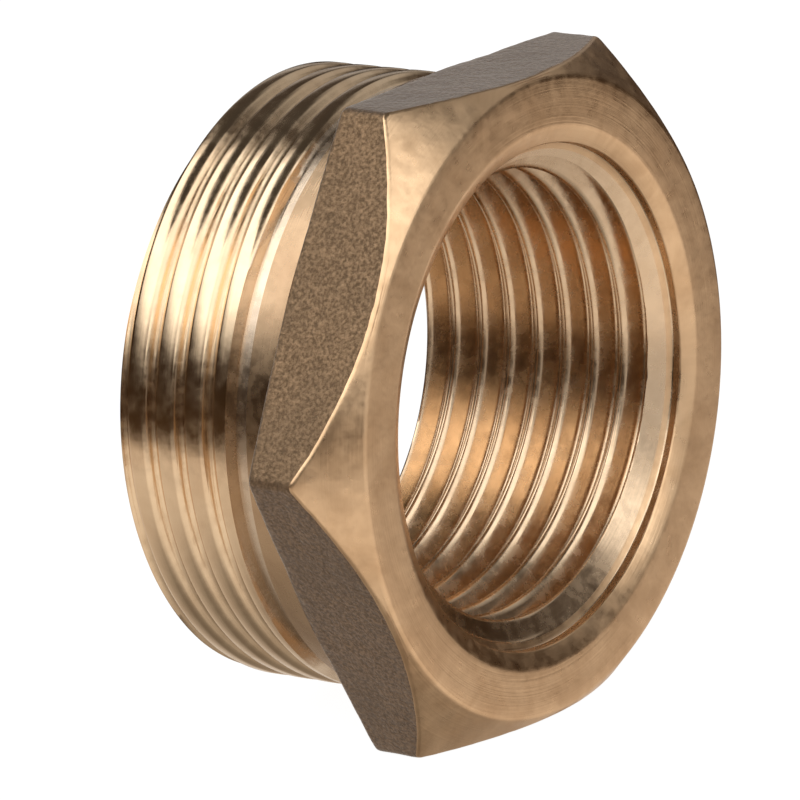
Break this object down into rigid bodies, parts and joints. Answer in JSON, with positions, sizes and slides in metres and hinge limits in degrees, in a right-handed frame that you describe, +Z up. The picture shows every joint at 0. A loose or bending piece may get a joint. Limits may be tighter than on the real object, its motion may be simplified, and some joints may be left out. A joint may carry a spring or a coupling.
{
  "type": "hexagon reducing bush",
  "caption": "Brass hexagon reducing bush: parallel pipe thread outside behind a hexagon head, smaller parallel pipe thread through the bore.",
  "frame": {"origin": "centre of the bounding box's bottom: the bush lies on one flat of its hexagon head, its axis 22 mm above the origin along Y", "axes": "+Y along the bush's axis towards the end of the outside thread, -Y out of the head's front face, +Z up through the upper flat, +X towards a corner of the hexagon"},
  "size_m": [0.0506, 0.0206, 0.044],
  "materials": {
    "brass": "bright turned faces and threads, dull forged skin on the hexagon flats"
  },
  "bodies": {
    "root": {"bush_body": "brass"}
  },
  "joints": []
}
